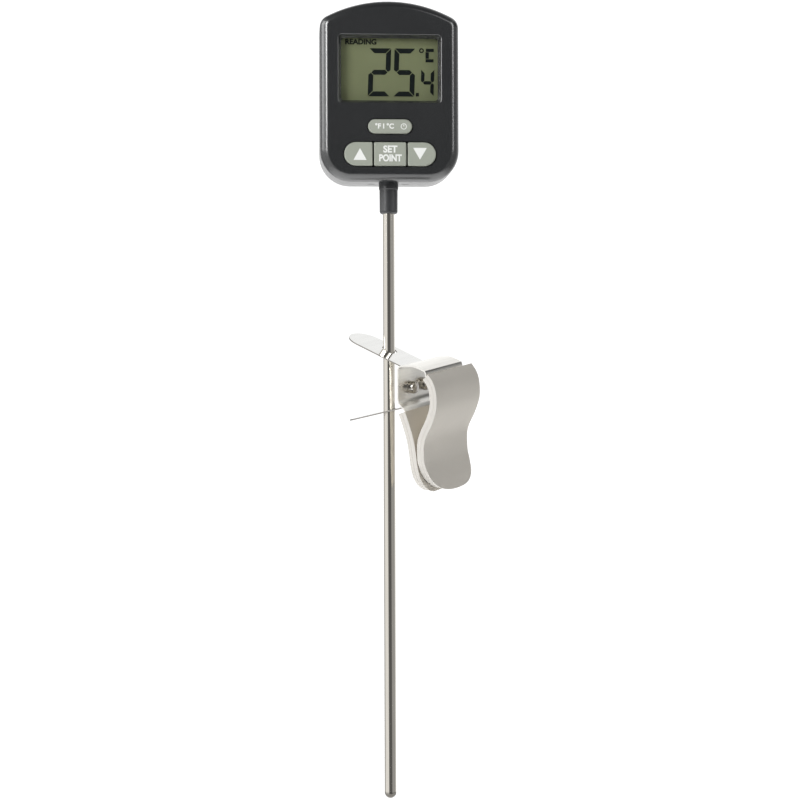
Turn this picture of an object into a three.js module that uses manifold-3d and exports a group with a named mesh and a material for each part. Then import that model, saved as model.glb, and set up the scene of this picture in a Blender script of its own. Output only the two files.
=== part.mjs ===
// Darkroom thermometer: digital head, hollow probe stem and a sprung tray clip that slides on it.
// Millimetres. +Z runs up the stem, -Y is the side with the display. The origin is on the flat back
// of the head, half way up it.
import * as THREE from 'three';
import { mergeVertices } from 'three/addons/utils/BufferGeometryUtils.js';
import Module from 'manifold-3d';

const wasm = await Module();
wasm.setup();
const { Manifold, Mesh: SolidMesh } = wasm;

// ---------------------------------------------------------------- driving dimensions

// Head.
const HEAD = {
  halfWidth: 23.3,
  halfHeight: 30.3,
  depth: 18,
  crownRadius: 45.4,
  shoulderRadius: 4.1,
  lowerCornerRadius: 10.45,
  wall: 1.9,
  partingY: -8,
};
const FACE_Y = -HEAD.depth;
const PANEL_BACK_Y = FACE_Y + 2.0;
const PRY_NOTCH = { fromMiddle: 5.8, halfWidth: 1.2, depth: 0.7 };

// Display window and what sits behind it.
const WINDOW = { halfWidth: 17.05, bottom: -4.0, top: 18.5, draft: 0.9, cornerRadius: 1.0 };
const PANE = { overlap: 1.1, lowerOverlap: 1.0, upperOverlap: 0.9, cornerRadius: 0.8, clearance: 0.15 };
const LENS_THICKNESS = 0.8;
const LCD_THICKNESS = 1.4;
const FRAME = { sideWall: 1.3, lowerWall: 1.2, upperWall: 0.7 };
const CONTACT_STRIP = { halfLength: 15, height: 1.6, lift: 0.4, gap: 0.1 };
const BOARD = { thickness: 1, halfWidth: 20.4, neckHalfWidth: 14, neckTop: -19, bottom: -25.2 };
const MEMBRANE = { thickness: 0.8, gap: 0.1, halfWidth: 13.6, bottom: -25, top: -8.6 };

// Keys.
const KEY = { proud: 0.6, edgeRadius: 0.4, cornerRadius: 0.5, clearance: 0.3 };
const KEY_FLANGE = { out: 0.6, thickness: 0.8, endInset: 1 };
const KEY_FOOT = { y: -14.5, endInset: 3, sideInset: 1.6 };
const UNIT_KEY = { halfWidth: 7.35, bottom: -14.6, top: -9.8 };
const ROW_KEY = { halfWidth: 15.35, middleHalfWidth: 5.4, gap: 0.5, bottom: -25.35, top: -17.45 };
const UNIT_END_RADIUS = (UNIT_KEY.top - UNIT_KEY.bottom) / 2 - 0.01;
const ROW_END_RADIUS = (ROW_KEY.top - ROW_KEY.bottom) / 2 - 0.01;

// Battery door and cell in the back.
const CELL = { z: 13.2, radius: 10, thickness: 3.2, backY: -3.7 };
const CELL_CAP = { radius: 8.6, stepRadius: 9.6, stepDepth: 0.5 };
const HOLDER = { wall: 1.8, gap: 0.3, slotHalfLength: 6.5, slotHalfWidth: 2.2, notchHalfWidth: 2.4 };
const CONTACT = { leafThickness: 0.24, leafWidth: 3.2, sideThickness: 0.25, sideHalfWidth: 2 };
const DOOR = { rimRadius: 12.3, rimDepth: 0.8, plugRadius: 10.6, plugDepth: 3.1, gap: 0.3 };
const DOOR_LUG = { radius: 12.0, halfWidth: 2.6, gap: 0.4 };
const COIN_SLOT = { halfLength: 7.5, halfWidth: 0.9, depth: 0.55 };

// Screws that hold the two shells together.
const SCREW = { headRadius: 1.8, headHeight: 1.2, shankRadius: 0.95, sinkDepth: 2.4, tipY: -13.4 };
const CROSS = { halfLength: 1.1, halfWidth: 0.22, depth: 0.6 };
const BOSS = { frontRadius: 2.1, frontBore: 1.05, rearRadius: 3.0, rearBore: 1.15, sinkRadius: 2.1 };
const SCREW_SPOTS = { top: [17.5, 22.2], bottom: [17.6, -23.2] };

// Stem and collar, on the axis x = 0, y = STEM_Y.
const STEM_Y = -9;
const STEM = { radius: 2.0, bore: 1.6, topZ: -25.6, tipZ: -238.4, tipWall: 2.2 };
const COLLAR = {
  radius: 3.05,
  ringRadius: 3.3,
  flangeRadius: 4.6,
  topZ: -26.4,
  flangeZ: -28.2,
  ringZ: -32.1,
  bottomZ: -40.5,
  footRadius: 0.9,
  gap: 0.1,
};
const SEAL = { ringRadius: 2.65, sectionRadius: 0.5, z: -25.75 };
const BEAD = { radius: 1.05, neckRadius: 0.7, bottomZ: -235.6, topZ: -232.5 };
const LEAD = { radius: 0.28, fromAxis: 0.5, bottomZ: -232.3, elbowZ: -22.5 };

// Tray clip. Its own frame has x from the stem towards the jaws, y across the strip and z up.
const CLIP = {
  stemOffset: 11.2,
  z: -97.2,
  yaw: -35.5,
  lean: 11.5,
  viewYaw: -4,
  stripThickness: 0.5,
  stripWidth: 21.5,
  jawNear: -13.3,
  jawFar: 12.5,
  jawThickness: 2.7,
  coverThickness: 1.25,
  rearJawBottom: -33.6,
  rearCornerRadius: 7.5,
  bendX: 6.0,
  bendGap: 0.15,
  recessFloor: 4.3,
};
const BRACKET = { thickness: 0.45, width: 12.6, webX: -0.55, foldZ: 6.7, foldGap: 0.35 };
const TONGUE = { splay: 17.4, reach: 25.9 };
const STEM_HOLE = { clearance: 0.35, squeezes: [0, 4, 8, 12] };
const RIVET = { headRadius: 2.1, headHeight: 2.5, shankRadius: 0.9, spacing: 7.4 };
const RIVET_TAIL = { radius: 1.35, height: 0.45 };

const SEAM = 0.05;
const DEG = Math.PI / 180;

// ---------------------------------------------------------------- solids and booleans

function toSolid(geometry) {
  const bare = new THREE.BufferGeometry();
  bare.setAttribute('position', geometry.getAttribute('position').clone());
  if (geometry.index) {
    bare.setIndex(geometry.index.clone());
  }
  const welded = mergeVertices(bare, 1e-5);
  const triangles = Array.from(welded.index.array);
  const points = welded.getAttribute('position');
  const kept = [];
  for (let i = 0; i < triangles.length; i += 3) {
    const [a, b, c] = triangles.slice(i, i + 3);
    if (a !== b && b !== c && a !== c) {
      kept.push(a, b, c);
    }
  }
  if (signedVolume(points, kept) < 0) {
    kept.reverse();
  }
  return new Manifold(new SolidMesh({
    numProp: 3,
    vertProperties: Float32Array.from(points.array),
    triVerts: Uint32Array.from(kept),
  }));
}

function signedVolume(points, triangles) {
  const a = new THREE.Vector3();
  const b = new THREE.Vector3();
  const c = new THREE.Vector3();
  let total = 0;
  for (let i = 0; i < triangles.length; i += 3) {
    a.fromBufferAttribute(points, triangles[i]);
    b.fromBufferAttribute(points, triangles[i + 1]);
    c.fromBufferAttribute(points, triangles[i + 2]);
    total += a.dot(b.clone().cross(c));
  }
  return total / 6;
}

function toGeometry(solid) {
  const mesh = solid.getMesh();
  const geometry = new THREE.BufferGeometry();
  geometry.setAttribute('position', new THREE.BufferAttribute(Float32Array.from(mesh.vertProperties), 3));
  geometry.setIndex(Array.from(mesh.triVerts));
  const flat = geometry.toNonIndexed();
  flat.computeVertexNormals();
  return flat;
}

function union(...solids) {
  return Manifold.union(solids);
}

function cut(base, ...tools) {
  return base.subtract(Manifold.union(tools));
}

// ---------------------------------------------------------------- shapes

function arc(cx, cy, radius, fromDeg, toDeg, steps) {
  const points = [];
  for (let i = 0; i <= steps; i += 1) {
    const angle = (fromDeg + ((toDeg - fromDeg) * i) / steps) * DEG;
    points.push(new THREE.Vector2(cx + radius * Math.cos(angle), cy + radius * Math.sin(angle)));
  }
  return points;
}

// Rounded rectangle, anticlockwise, with its own corner radius at the left and right ends.
function roundedBox(left, right, bottom, top, leftRadius, rightRadius = leftRadius, steps = 6) {
  return [
    ...arc(right - rightRadius, bottom + rightRadius, rightRadius, -90, 0, steps),
    ...arc(right - rightRadius, top - rightRadius, rightRadius, 0, 90, steps),
    ...arc(left + leftRadius, top - leftRadius, leftRadius, 90, 180, steps),
    ...arc(left + leftRadius, bottom + leftRadius, leftRadius, 180, 270, steps),
  ];
}

// Outline of the head drawn in from its widest by `inset`, anticlockwise from the lower right.
function headOutline(inset) {
  const { halfWidth, halfHeight, crownRadius, shoulderRadius, lowerCornerRadius } = HEAD;
  const crownZ = halfHeight - crownRadius;
  const shoulderX = halfWidth - shoulderRadius;
  const reach = crownRadius - shoulderRadius;
  const shoulderZ = crownZ + Math.sqrt(reach * reach - shoulderX * shoulderX);
  const crownEdge = Math.atan2(shoulderZ - crownZ, shoulderX) / DEG;
  const cornerX = halfWidth - lowerCornerRadius;
  const cornerZ = -halfHeight + lowerCornerRadius;
  return [
    ...arc(cornerX, cornerZ, lowerCornerRadius - inset, -90, 0, 12),
    ...arc(shoulderX, shoulderZ, shoulderRadius - inset, 0, crownEdge, 6),
    ...arc(0, crownZ, crownRadius - inset, crownEdge, 180 - crownEdge, 24).slice(1, -1),
    ...arc(-shoulderX, shoulderZ, shoulderRadius - inset, 180 - crownEdge, 180, 6),
    ...arc(-cornerX, cornerZ, lowerCornerRadius - inset, 180, 270, 12),
  ];
}

// Skin through matching outlines drawn in the XZ plane, one at each Y, closed at both ends.
function loft(layers) {
  const count = layers[0].outline.length;
  const positions = [];
  const index = [];
  for (const { outline, y } of layers) {
    for (const point of outline) {
      positions.push(point.x, y, point.y);
    }
  }
  for (let layer = 0; layer + 1 < layers.length; layer += 1) {
    for (let i = 0; i < count; i += 1) {
      const a = layer * count + i;
      const b = layer * count + ((i + 1) % count);
      index.push(a, b, b + count, a, b + count, a + count);
    }
  }
  const firstCap = THREE.ShapeUtils.triangulateShape(layers[0].outline, []);
  const lastCap = THREE.ShapeUtils.triangulateShape(layers.at(-1).outline, []);
  const last = (layers.length - 1) * count;
  for (const [a, b, c] of firstCap) {
    index.push(c, b, a);
  }
  for (const [a, b, c] of lastCap) {
    index.push(last + a, last + b, last + c);
  }
  const geometry = new THREE.BufferGeometry();
  geometry.setAttribute('position', new THREE.Float32BufferAttribute(positions, 3));
  geometry.setIndex(index);
  return toSolid(geometry);
}

// Straight prism: an outline in the XZ plane between two Y values.
function prism(outline, y0, y1) {
  return loft([{ outline, y: y0 }, { outline, y: y1 }]);
}

function block(x0, x1, y0, y1, z0, z1) {
  const geometry = new THREE.BoxGeometry(x1 - x0, y1 - y0, z1 - z0);
  geometry.translate((x0 + x1) / 2, (y0 + y1) / 2, (z0 + z1) / 2);
  return toSolid(geometry);
}

// Turned about a line parallel to Z. Profile points are [radius, z].
function turnedZ(profile, x = 0, y = STEM_Y, segments = 28) {
  const geometry = new THREE.LatheGeometry(profile.map(([r, z]) => new THREE.Vector2(r, z)), segments);
  geometry.rotateX(Math.PI / 2);
  geometry.translate(x, y, 0);
  return toSolid(geometry);
}

// Turned about a line parallel to Y. Profile points are [radius, y].
function turnedY(profile, x, z, segments = 24) {
  const geometry = new THREE.LatheGeometry(profile.map(([r, y]) => new THREE.Vector2(r, y)), segments);
  geometry.translate(x, 0, z);
  return toSolid(geometry);
}

function rodY(radius, y0, y1, x, z, segments = 24) {
  return turnedY([[0, y0], [radius, y0], [radius, y1], [0, y1]], x, z, segments);
}

// Smooth curve through a few [x, z] points.
function curveThrough(points, samples) {
  const curve = new THREE.SplineCurve(points.map(([x, z]) => new THREE.Vector2(x, z)));
  return curve.getSpacedPoints(samples);
}

// The curve moved sideways. Positive is to the left of the direction of travel.
function offsetCurve(points, distance) {
  return points.map((point, i) => {
    const before = points[Math.max(i - 1, 0)];
    const after = points[Math.min(i + 1, points.length - 1)];
    const along = after.clone().sub(before).normalize();
    return new THREE.Vector2(point.x - along.y * distance, point.y + along.x * distance);
  });
}

// A bent sheet: the band between two offsets of a curve, across a width centred on y = 0.
function bentSheet(points, from, to, width) {
  const outline = [...offsetCurve(points, from), ...offsetCurve(points, to).reverse()];
  if (THREE.ShapeUtils.isClockWise(outline)) {
    outline.reverse();
  }
  return prism(outline, -width / 2, width / 2);
}

// ---------------------------------------------------------------- materials and nodes

const MATERIALS = {
  shell: { color: 0x33353a, roughness: 0.42, metalness: 0 },
  collar: { color: 0x2f3135, roughness: 0.5, metalness: 0 },
  keys: { color: 0x9ea396, roughness: 0.5, metalness: 0 },
  lens: { color: 0xdfe6e2, roughness: 0.05, metalness: 0, transparent: true, opacity: 0.3 },
  display: { color: 0x6e7355, roughness: 0.25, metalness: 0 },
  board: { color: 0x1f6b3a, roughness: 0.6, metalness: 0 },
  rubber: { color: 0x24262a, roughness: 0.85, metalness: 0 },
  inner: { color: 0xb9bab6, roughness: 0.6, metalness: 0 },
  steel: { color: 0xb9b6af, roughness: 0.25, metalness: 1 },
  spring: { color: 0xcfcfca, roughness: 0.3, metalness: 1 },
  jaw: { color: 0xa8a49c, roughness: 0.7, metalness: 0 },
  pad: { color: 0xd5d1c8, roughness: 0.75, metalness: 0 },
  brass: { color: 0xb39a5a, roughness: 0.35, metalness: 1 },
};
const materials = {};
for (const [name, values] of Object.entries(MATERIALS)) {
  materials[name] = new THREE.MeshStandardMaterial({ name, ...values });
}

const group = new THREE.Group();
group.name = 'darkroom_thermometer';

function add(name, materialName, solid, parent = group) {
  const mesh = new THREE.Mesh(toGeometry(solid), materials[materialName]);
  mesh.name = name;
  parent.add(mesh);
}

// The clip leans on the stem; inside that it is turned, and stands off from the stem's axis.
const clipOnStem = new THREE.Group();
clipOnStem.name = 'clip_on_stem';
clipOnStem.position.set(0, STEM_Y, CLIP.z);
clipOnStem.rotation.set(CLIP.lean * DEG, 0, CLIP.viewYaw * DEG, 'ZXY');
group.add(clipOnStem);
const clip = new THREE.Group();
clip.name = 'tray_clip';
clip.rotation.z = CLIP.yaw * DEG;
clip.translateX(CLIP.stemOffset);
clipOnStem.add(clip);
clip.updateWorldMatrix(true, false);
const stemInClip = clip.matrixWorld.clone().invert();

// ---------------------------------------------------------------- head shells

// Rounded edges of the head and rounded lip of the window, as [inset or outset, depth] steps.
const frontEdge = [[2.9, 0], [2.45, 0.08], [1.95, 0.32], [1.4, 0.74], [0.75, 1.4], [0.25, 2.2], [0, 3.2]];
const windowLip = [[0.5, 0], [0.26, 0.06], [0.08, 0.22], [0, 0.48]];
const rearEdge = [[0, 1.4], [0.4, 0.4], [1.4, 0]];
const screwSpots = {
  top_left: [-SCREW_SPOTS.top[0], SCREW_SPOTS.top[1]],
  top_right: SCREW_SPOTS.top,
  bottom_left: [-SCREW_SPOTS.bottom[0], SCREW_SPOTS.bottom[1]],
  bottom_right: SCREW_SPOTS.bottom,
};

function keyHole({ halfWidth, bottom, top }, radius) {
  const c = KEY.clearance;
  const outline = roundedBox(-halfWidth - c, halfWidth + c, bottom - c, top + c, radius + c);
  return prism(outline, FACE_Y - 1, PANEL_BACK_Y + 1);
}

function windowCut() {
  const { halfWidth, bottom, top, draft, cornerRadius } = WINDOW;
  const grown = (by, depth) => {
    const radius = cornerRadius + Math.max(by, 0);
    const outline = roundedBox(-halfWidth - by, halfWidth + by, bottom - by, top + by, radius);
    return { outline, y: FACE_Y + depth };
  };
  const mouth = windowLip[0][0];
  return loft([
    grown(mouth, -1),
    ...windowLip.map(([outset, depth]) => grown(outset, depth)),
    grown(-draft, PANEL_BACK_Y - FACE_Y + 0.1),
  ]);
}

// The way through the head's lower wall for the collar.
function collarPassage() {
  const r = COLLAR.ringRadius + SEAM;
  const outside = -HEAD.halfHeight - 1;
  const inside = -HEAD.halfHeight + HEAD.wall + 1;
  return turnedZ([[0, outside], [r, outside], [r, inside], [0, inside]]);
}

function buildFrontShell() {
  const outer = loft([
    ...frontEdge.map(([inset, depth]) => ({ outline: headOutline(inset), y: FACE_Y + depth })),
    { outline: headOutline(0), y: HEAD.partingY },
  ]);
  const hollow = loft([
    { outline: headOutline(HEAD.wall + 2.0), y: PANEL_BACK_Y },
    { outline: headOutline(HEAD.wall), y: PANEL_BACK_Y + 2.2 },
    { outline: headOutline(HEAD.wall), y: HEAD.partingY + 1 },
  ]);
  const spots = Object.values(screwSpots);
  const bosses = spots.map(([x, z]) => rodY(BOSS.frontRadius, PANEL_BACK_Y - 0.5, HEAD.partingY, x, z));
  const bores = spots.map(([x, z]) => rodY(BOSS.frontBore, SCREW.tipY - 0.4, HEAD.partingY + 1, x, z));
  const rowHole = keyHole(ROW_KEY, ROW_END_RADIUS);
  const unitHole = keyHole(UNIT_KEY, UNIT_END_RADIUS);
  const notch = PRY_NOTCH;
  const pryNotches = [-notch.fromMiddle, notch.fromMiddle].map((x) => block(
    x - notch.halfWidth, x + notch.halfWidth, HEAD.partingY - notch.depth, HEAD.partingY + 1,
    -HEAD.halfHeight - 1, -HEAD.halfHeight + notch.depth,
  ));
  return cut(
    union(cut(outer, hollow), ...bosses),
    ...bores, windowCut(), rowHole, unitHole, collarPassage(), ...pryNotches,
  );
}

// Recess for the door's rim, the way through for its plug, and two notches that let its lugs in.
function doorCut() {
  const rim = rodY(DOOR.rimRadius + DOOR.gap, -DOOR.rimDepth - 0.1, 1, 0, CELL.z, 48);
  const hole = rodY(DOOR.plugRadius + DOOR.gap, -HEAD.wall - 1, 1, 0, CELL.z, 48);
  const reach = DOOR_LUG.radius + DOOR_LUG.gap;
  const half = DOOR_LUG.halfWidth + DOOR_LUG.gap;
  const notches = cut(
    block(-reach, reach, -HEAD.wall - 1, -DOOR.rimDepth, CELL.z - half, CELL.z + half),
    rodY(DOOR.plugRadius - 1, -HEAD.wall - 2, 1, 0, CELL.z, 48),
  );
  return [rim, hole, notches];
}

function buildRearShell() {
  const seamY = HEAD.partingY + SEAM * 2;
  const outer = loft([
    { outline: headOutline(0), y: seamY },
    ...rearEdge.map(([inset, depth]) => ({ outline: headOutline(inset), y: -depth })),
  ]);
  const hollow = loft([
    { outline: headOutline(HEAD.wall), y: seamY - 1 },
    { outline: headOutline(HEAD.wall), y: -3 },
    { outline: headOutline(HEAD.wall + 1.1), y: -HEAD.wall },
  ]);
  const spots = Object.values(screwSpots);
  const bosses = spots.map(([x, z]) => rodY(BOSS.rearRadius, seamY, -HEAD.wall + 0.5, x, z));
  const sinks = spots.map(([x, z]) => rodY(BOSS.sinkRadius, -SCREW.sinkDepth, 1, x, z));
  const holes = spots.map(([x, z]) => rodY(BOSS.rearBore, seamY - 1, 1, x, z));
  const body = union(cut(outer, hollow), ...bosses.map((boss) => boss.intersect(outer)));
  return cut(body, ...sinks, ...holes, ...doorCut(), collarPassage());
}

function buildScrew(x, z) {
  const seatY = -SCREW.sinkDepth + SEAM;
  const { headRadius, headHeight, shankRadius, tipY } = SCREW;
  const body = turnedY([
    [0, tipY],
    [shankRadius * 0.4, tipY],
    [shankRadius, tipY + 1],
    [shankRadius, seatY],
    [headRadius, seatY],
    [headRadius, seatY + headHeight * 0.55],
    [headRadius * 0.7, seatY + headHeight * 0.92],
    [0, seatY + headHeight],
  ], x, z);
  const top = seatY + headHeight;
  const { halfLength: long, halfWidth: thin, depth } = CROSS;
  return cut(
    body,
    block(x - long, x + long, top - depth, top + 1, z - thin, z + thin),
    block(x - thin, x + thin, top - depth, top + 1, z - long, z + long),
  );
}

add('front_shell', 'shell', buildFrontShell());
add('rear_shell', 'shell', buildRearShell());
for (const [name, [x, z]] of Object.entries(screwSpots)) {
  add(`screw_${name}`, 'steel', buildScrew(x, z));
}

// ---------------------------------------------------------------- display stack

const paneHalfWidth = WINDOW.halfWidth + PANE.overlap;
const paneBottom = WINDOW.bottom - PANE.lowerOverlap;
const paneTop = WINDOW.top + PANE.upperOverlap;
const lensY = PANEL_BACK_Y + 0.1;
const lcdY = lensY + LENS_THICKNESS + 0.1;
const boardY = lcdY + 2.1;

const paneOutline = roundedBox(-paneHalfWidth, paneHalfWidth, paneBottom, paneTop, PANE.cornerRadius);
add('window_lens', 'lens', prism(paneOutline, lensY, lensY + LENS_THICKNESS));
add('lcd_panel', 'display', block(
  -paneHalfWidth, paneHalfWidth, lcdY, lcdY + LCD_THICKNESS, paneBottom, paneTop,
));
const frameSide = paneHalfWidth + FRAME.sideWall;
const frameInside = paneHalfWidth + PANE.clearance;
add('display_frame', 'inner', cut(
  block(-frameSide, frameSide, lensY, boardY - 0.2, paneBottom - FRAME.lowerWall, paneTop + FRAME.upperWall),
  block(
    -frameInside, frameInside, lensY - 1, boardY + 1,
    paneBottom - PANE.clearance, paneTop + PANE.clearance,
  ),
));
const stripBottom = paneBottom + CONTACT_STRIP.lift;
add('contact_strip', 'rubber', block(
  -CONTACT_STRIP.halfLength, CONTACT_STRIP.halfLength,
  lcdY + LCD_THICKNESS + CONTACT_STRIP.gap, boardY - CONTACT_STRIP.gap,
  stripBottom, stripBottom + CONTACT_STRIP.height,
));

// ---------------------------------------------------------------- circuit board and keypad

// The board fills the head behind the display and narrows below, between the lower screws.
const boardOutline = [
  [-BOARD.neckHalfWidth, BOARD.bottom],
  [BOARD.neckHalfWidth, BOARD.bottom],
  [BOARD.neckHalfWidth, BOARD.neckTop],
  [BOARD.halfWidth, BOARD.neckTop],
  [BOARD.halfWidth, paneTop],
  [-BOARD.halfWidth, paneTop],
  [-BOARD.halfWidth, BOARD.neckTop],
  [-BOARD.neckHalfWidth, BOARD.neckTop],
].map(([x, z]) => new THREE.Vector2(x, z));
const boardBackY = boardY + BOARD.thickness;
const membraneY = boardY - MEMBRANE.gap;
add('circuit_board', 'board', prism(boardOutline, boardY, boardBackY));
add('keypad_membrane', 'rubber', block(
  -MEMBRANE.halfWidth, MEMBRANE.halfWidth, membraneY - MEMBRANE.thickness, membraneY,
  MEMBRANE.bottom, MEMBRANE.top,
));

// A key: cap with softened edges, a flange that keeps it in, and a foot for the membrane.
function buildKey(left, right, { bottom, top }, leftRadius, rightRadius) {
  const frontY = FACE_Y - KEY.proud;
  const capAt = (inset, y) => ({
    outline: roundedBox(
      left + inset, right - inset, bottom + inset, top - inset,
      Math.max(leftRadius - inset, 0.1), Math.max(rightRadius - inset, 0.1),
    ),
    y,
  });
  const r = KEY.edgeRadius;
  const flangeY = PANEL_BACK_Y + 0.1;
  const cap = loft([
    capAt(r, frontY),
    capAt(r * 0.3, frontY + r * 0.3),
    capAt(0, frontY + r),
    capAt(0, flangeY + 0.4),
  ]);
  const flange = block(
    left + KEY_FLANGE.endInset, right - KEY_FLANGE.endInset, flangeY, flangeY + KEY_FLANGE.thickness,
    bottom - KEY_FLANGE.out, top + KEY_FLANGE.out,
  );
  const foot = block(
    left + KEY_FOOT.endInset, right - KEY_FOOT.endInset, flangeY + 0.2, KEY_FOOT.y,
    bottom + KEY_FOOT.sideInset, top - KEY_FOOT.sideInset,
  );
  return union(cap, flange, foot);
}

const endX = ROW_KEY.halfWidth;
const midX = ROW_KEY.middleHalfWidth;
const splitX = midX + ROW_KEY.gap;
const corner = KEY.cornerRadius;
add('unit_key', 'keys', buildKey(
  -UNIT_KEY.halfWidth, UNIT_KEY.halfWidth, UNIT_KEY, UNIT_END_RADIUS, UNIT_END_RADIUS,
));
add('up_key', 'keys', buildKey(-endX, -splitX, ROW_KEY, ROW_END_RADIUS, corner));
add('set_key', 'keys', buildKey(-midX, midX, ROW_KEY, corner, corner));
add('down_key', 'keys', buildKey(splitX, endX, ROW_KEY, corner, ROW_END_RADIUS));

// ---------------------------------------------------------------- battery, its holder and door

function buildDoor() {
  const { rimRadius, rimDepth, plugRadius, plugDepth } = DOOR;
  const body = turnedY([
    [0, -plugDepth],
    [plugRadius, -plugDepth],
    [plugRadius, -rimDepth],
    [rimRadius, -rimDepth],
    [rimRadius, -0.25],
    [rimRadius - 0.25, 0],
    [0, 0],
  ], 0, CELL.z, 48);
  const lugWidth = DOOR_LUG.halfWidth;
  const lugs = rodY(DOOR_LUG.radius, -plugDepth, -HEAD.wall - DOOR.gap, 0, CELL.z, 48)
    .intersect(block(-lugWidth, lugWidth, -2 * plugDepth, 0, CELL.z - rimRadius, CELL.z + rimRadius));
  const { halfLength, halfWidth, depth } = COIN_SLOT;
  const endRadius = halfWidth - 0.05;
  const outline = roundedBox(-halfLength, halfLength, CELL.z - halfWidth, CELL.z + halfWidth, endRadius);
  const coinSlot = prism(outline, -depth, 1);
  return cut(union(body, lugs), coinSlot);
}

const holderY = boardBackY + 0.1;
const cellFrontY = CELL.backY - CELL.thickness;
const holderRadius = CELL.radius + HOLDER.wall;
add('battery_door', 'shell', buildDoor());
add('coin_cell', 'steel', turnedY([
  [0, cellFrontY],
  [CELL_CAP.radius - 0.2, cellFrontY],
  [CELL_CAP.radius, cellFrontY + CELL_CAP.stepDepth],
  [CELL_CAP.stepRadius, cellFrontY + CELL_CAP.stepDepth],
  [CELL.radius, cellFrontY + CELL_CAP.stepDepth + 0.4],
  [CELL.radius, CELL.backY - 0.3],
  [CELL.radius - 0.3, CELL.backY],
  [0, CELL.backY],
], 0, CELL.z, 40));
add('cell_holder', 'inner', cut(
  rodY(holderRadius, holderY, CELL.backY - 0.6, 0, CELL.z, 40),
  rodY(CELL.radius + HOLDER.gap, cellFrontY - HOLDER.gap, 0, 0, CELL.z, 40),
  block(
    -HOLDER.slotHalfLength, HOLDER.slotHalfLength, holderY - 1, 0,
    CELL.z - HOLDER.slotHalfWidth, CELL.z + HOLDER.slotHalfWidth,
  ),
  block(
    CELL.radius - 2, holderRadius + 1, holderY - 1, 0,
    CELL.z - HOLDER.notchHalfWidth, CELL.z + HOLDER.notchHalfWidth,
  ),
));
// Side view of the leaf spring as [x, y]: it rises from the board, touches the cell and dips again.
const leafLine = curveThrough([
  [-5.6, holderY + 0.3], [-2.5, holderY + 0.7], [1.5, cellFrontY - 0.35], [4.6, cellFrontY - 0.9],
], 10);
const halfLeaf = CONTACT.leafThickness / 2;
const leafSheet = bentSheet(leafLine, -halfLeaf, halfLeaf, CONTACT.leafWidth);
add('negative_contact', 'brass', leafSheet.rotate([90, 0, 0]).mirror([0, 1, 0]).translate([0, 0, CELL.z]));
const sideX = CELL.radius + 0.2;
add('positive_contact', 'brass', block(
  sideX, sideX + CONTACT.sideThickness, holderY, CELL.backY - 0.8,
  CELL.z - CONTACT.sideHalfWidth, CELL.z + CONTACT.sideHalfWidth,
));

// ---------------------------------------------------------------- stem, collar and sensor

const tubeTip = arc(0, 0, STEM.radius, -90, 0, 6).map((p) => [p.x, STEM.tipZ + STEM.radius + p.y]);
tubeTip[0] = [0, STEM.tipZ];
add('stem_tube', 'steel', turnedZ([
  ...tubeTip,
  [STEM.radius, STEM.topZ],
  [STEM.bore, STEM.topZ],
  [STEM.bore, STEM.tipZ + STEM.tipWall + 0.4],
  [0, STEM.tipZ + STEM.tipWall],
]));

const collarBore = STEM.radius + COLLAR.gap;
const foot = COLLAR.footRadius;
const collarFoot = arc(COLLAR.radius - foot, COLLAR.bottomZ + foot, foot, -90, 0, 5).map((p) => [p.x, p.y]);
add('stem_collar', 'collar', turnedZ([
  [collarBore, COLLAR.topZ],
  [collarBore, COLLAR.bottomZ],
  ...collarFoot,
  [COLLAR.radius + 0.05, COLLAR.ringZ - 0.3],
  [COLLAR.ringRadius, COLLAR.ringZ],
  [COLLAR.ringRadius, COLLAR.flangeZ],
  [COLLAR.flangeRadius, COLLAR.flangeZ],
  [COLLAR.flangeRadius, COLLAR.topZ],
  [collarBore, COLLAR.topZ],
]));

const seal = new THREE.TorusGeometry(SEAL.ringRadius, SEAL.sectionRadius, 10, 28);
seal.translate(0, STEM_Y, SEAL.z);
add('stem_seal', 'rubber', toSolid(seal));

add('thermistor', 'inner', turnedZ([
  [0, BEAD.bottomZ],
  [BEAD.neckRadius, BEAD.bottomZ + 0.3],
  [BEAD.radius, BEAD.bottomZ + 1],
  [BEAD.radius, BEAD.topZ - 0.7],
  [BEAD.neckRadius, BEAD.topZ - 0.1],
  [0, BEAD.topZ],
], 0, STEM_Y, 16));

// A lead from the thermistor up the tube, then forward to the circuit board.
function buildLead(x) {
  const { radius, bottomZ, elbowZ } = LEAD;
  const run = turnedZ([[0, bottomZ], [radius, bottomZ], [radius, elbowZ], [0, elbowZ]], x, STEM_Y, 10);
  const turn = new THREE.SphereGeometry(radius, 10, 8);
  turn.translate(x, STEM_Y, elbowZ);
  return union(run, toSolid(turn), rodY(radius, boardBackY + 0.15, STEM_Y, x, elbowZ, 10));
}
add('lead_left', 'brass', buildLead(-LEAD.fromAxis));
add('lead_right', 'brass', buildLead(LEAD.fromAxis));

// ---------------------------------------------------------------- tray clip: bracket

// The stem's axis seen from the clip, swept over the angles the tongues can be squeezed to.
function stemClearance(hingeZ, direction) {
  const tools = [];
  const radius = STEM.radius + STEM_HOLE.clearance;
  for (const squeeze of STEM_HOLE.squeezes) {
    const geometry = new THREE.CylinderGeometry(radius, radius, 60, 24);
    geometry.rotateX(Math.PI / 2);
    geometry.translate(0, STEM_Y, CLIP.z);
    geometry.applyMatrix4(stemInClip);
    const hinge = new THREE.Matrix4().makeTranslation(BRACKET.webX, 0, hingeZ);
    hinge.multiply(new THREE.Matrix4().makeRotationY(direction * squeeze * DEG));
    hinge.multiply(new THREE.Matrix4().makeTranslation(-BRACKET.webX, 0, -hingeZ));
    geometry.applyMatrix4(hinge);
    tools.push(toSolid(geometry));
  }
  return union(...tools);
}

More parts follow.
